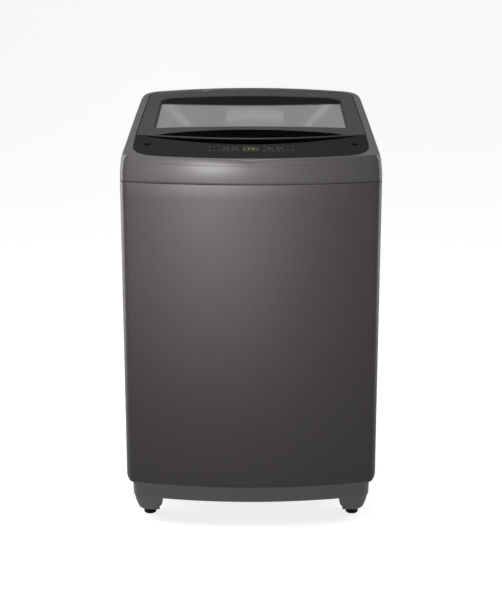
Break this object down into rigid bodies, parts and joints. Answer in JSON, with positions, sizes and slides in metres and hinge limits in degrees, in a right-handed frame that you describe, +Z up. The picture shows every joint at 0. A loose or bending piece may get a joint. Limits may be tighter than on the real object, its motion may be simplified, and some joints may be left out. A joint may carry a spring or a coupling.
{
  "type": "top load washing machine",
  "caption": "Top loading washing machine: bowed grey steel cabinet, sloped top with glass lid and black control panel, drum on sprung suspension, levelling feet.",
  "frame": {"origin": "on the floor under the middle of the machine's width and depth", "axes": "+X to the machine's right as seen from the front, -Y is the front, +Z up"},
  "size_m": [0.59, 0.606, 0.9596],
  "materials": {
    "painted_steel": "satin dark grey metallic",
    "grey_plastic": "satin dark grey metallic paint",
    "lid_grey": "satin dark grey",
    "gloss_black": "gloss",
    "key_black": "satin",
    "clear_glass": "clear, tempered",
    "display_lens": "smoked lens",
    "galvanised_steel": "zinc coated",
    "stainless_steel": "perforated, brushed",
    "bearing_steel": "ground",
    "cast_aluminium": "cast",
    "motor_iron": "laminated core with lacquered copper windings",
    "white_plastic": "moulded polypropylene",
    "black_rubber": "matte",
    "board_green": "circuit board with solder mask"
  },
  "bodies": {
    "cabinet": {"cabinet_shell": "painted_steel", "back_cover": "galvanised_steel", "cord_gland": "black_rubber", "base_frame": "grey_plastic", "top_cover": "grey_plastic", "control_panel": "gloss_black", "display_window": "display_lens", "control_board": "board_green", "dispenser_housing": "white_plastic", "inlet_valve": "white_plastic", "fill_hose": "black_rubber", "pressure_sensor": "white_plastic", "lid_lock": "key_black", "corner_bracket_front_left": "galvanised_steel", "corner_bracket_front_right": "galvanised_steel", "corner_bracket_rear_left": "galvanised_steel", "corner_bracket_rear_right": "galvanised_steel", "suspension_rod_front_left": "galvanised_steel", "suspension_rod_front_right": "galvanised_steel", "suspension_rod_rear_left": "galvanised_steel", "suspension_rod_rear_right": "galvanised_steel", "suspension_spring_front_left": "bearing_steel", "suspension_spring_front_right": "bearing_steel", "suspension_spring_rear_left": "bearing_steel", "suspension_spring_rear_right": "bearing_steel", "drain_outlet": "black_rubber", "drain_bellows": "black_rubber"},
    "lid": {"lid_frame": "lid_grey", "lid_glass": "clear_glass", "lid_handle": "gloss_black", "hinge_pin_left": "bearing_steel", "hinge_pin_right": "bearing_steel"},
    "drawer": {"detergent_drawer": "white_plastic"},
    "tub": {"outer_tub": "white_plastic", "tub_cover": "white_plastic", "bearing_housing": "cast_aluminium", "stator": "motor_iron", "drain_valve": "white_plastic", "upper_bearing": "bearing_steel", "lower_bearing": "bearing_steel", "shaft_seal": "black_rubber"},
    "drum": {"drum_shell": "stainless_steel", "balance_ring": "white_plastic", "drum_flange": "cast_aluminium", "spin_shaft": "bearing_steel", "lint_filter_left": "white_plastic", "lint_filter_right": "white_plastic"},
    "pulsator": {"pulsator": "white_plastic", "drive_shaft": "bearing_steel", "rotor": "galvanised_steel"},
    "power_button": {"power_button": "key_black"},
    "start_button": {"start_button": "key_black"},
    "program_key": {"program_key": "key_black"},
    "water_key": {"water_key": "key_black"},
    "rinse_key": {"rinse_key": "key_black"},
    "spin_key": {"spin_key": "key_black"},
    "foot_front_left": {"leveling_foot_front_left": "black_rubber"},
    "foot_front_right": {"leveling_foot_front_right": "black_rubber"},
    "foot_rear_left": {"leveling_foot_rear_left": "black_rubber"},
    "foot_rear_right": {"leveling_foot_rear_right": "black_rubber"}
  },
  "joints": [
    {"name": "lid_hinge", "type": "hinge", "parent": "cabinet", "child": "lid", "pos_m": [0, 0.274, 0.949], "axis": [-1, 0, 0], "range_deg": [0, 95]},
    {"name": "drawer_slide", "type": "slide", "parent": "cabinet", "child": "drawer", "axis": [0, -1, 0], "range_m": [0, 0.055]},
    {"name": "tub_bounce", "type": "slide", "parent": "cabinet", "child": "tub", "axis": [0, 0, 1], "range_m": [-0.03, 0.01], "stiffness_N_per_m": 10000, "springref_m": 0.028, "deforming": ["suspension_spring_front_left", "suspension_spring_front_right", "suspension_spring_rear_left", "suspension_spring_rear_right", "drain_bellows"]},
    {"name": "drum_spin", "type": "hinge", "parent": "tub", "child": "drum", "pos_m": [0, 0.028, 0.285], "axis": [0, 0, 1], "continuous": true},
    {"name": "pulsator_spin", "type": "hinge", "parent": "tub", "child": "pulsator", "pos_m": [0, 0.028, 0.3], "axis": [0, 0, 1], "continuous": true},
    {"name": "power_button_press", "type": "slide", "parent": "cabinet", "child": "power_button", "axis": [0, 0, -1], "range_m": [0, 0.0015], "stiffness_N_per_m": 600, "springref_m": -0.002},
    {"name": "start_button_press", "type": "slide", "parent": "cabinet", "child": "start_button", "axis": [0, 0, -1], "range_m": [0, 0.0015], "stiffness_N_per_m": 600, "springref_m": -0.002},
    {"name": "program_key_press", "type": "slide", "parent": "cabinet", "child": "program_key", "axis": [0, 0, -1], "range_m": [0, 0.001], "stiffness_N_per_m": 600, "springref_m": -0.002},
    {"name": "water_key_press", "type": "slide", "parent": "cabinet", "child": "water_key", "axis": [0, 0, -1], "range_m": [0, 0.001], "stiffness_N_per_m": 600, "springref_m": -0.002},
    {"name": "rinse_key_press", "type": "slide", "parent": "cabinet", "child": "rinse_key", "axis": [0, 0, -1], "range_m": [0, 0.001], "stiffness_N_per_m": 600, "springref_m": -0.002},
    {"name": "spin_key_press", "type": "slide", "parent": "cabinet", "child": "spin_key", "axis": [0, 0, -1], "range_m": [0, 0.001], "stiffness_N_per_m": 600, "springref_m": -0.002},
    {"name": "foot_front_left_screw", "type": "slide", "parent": "cabinet", "child": "foot_front_left", "axis": [0, 0, -1], "range_m": [0, 0.015]},
    {"name": "foot_front_right_screw", "type": "slide", "parent": "cabinet", "child": "foot_front_right", "axis": [0, 0, -1], "range_m": [0, 0.015]},
    {"name": "foot_rear_left_screw", "type": "slide", "parent": "cabinet", "child": "foot_rear_left", "axis": [0, 0, -1], "range_m": [0, 0.015]},
    {"name": "foot_rear_right_screw", "type": "slide", "parent": "cabinet", "child": "foot_rear_right", "axis": [0, 0, -1], "range_m": [0, 0.015]}
  ]
}
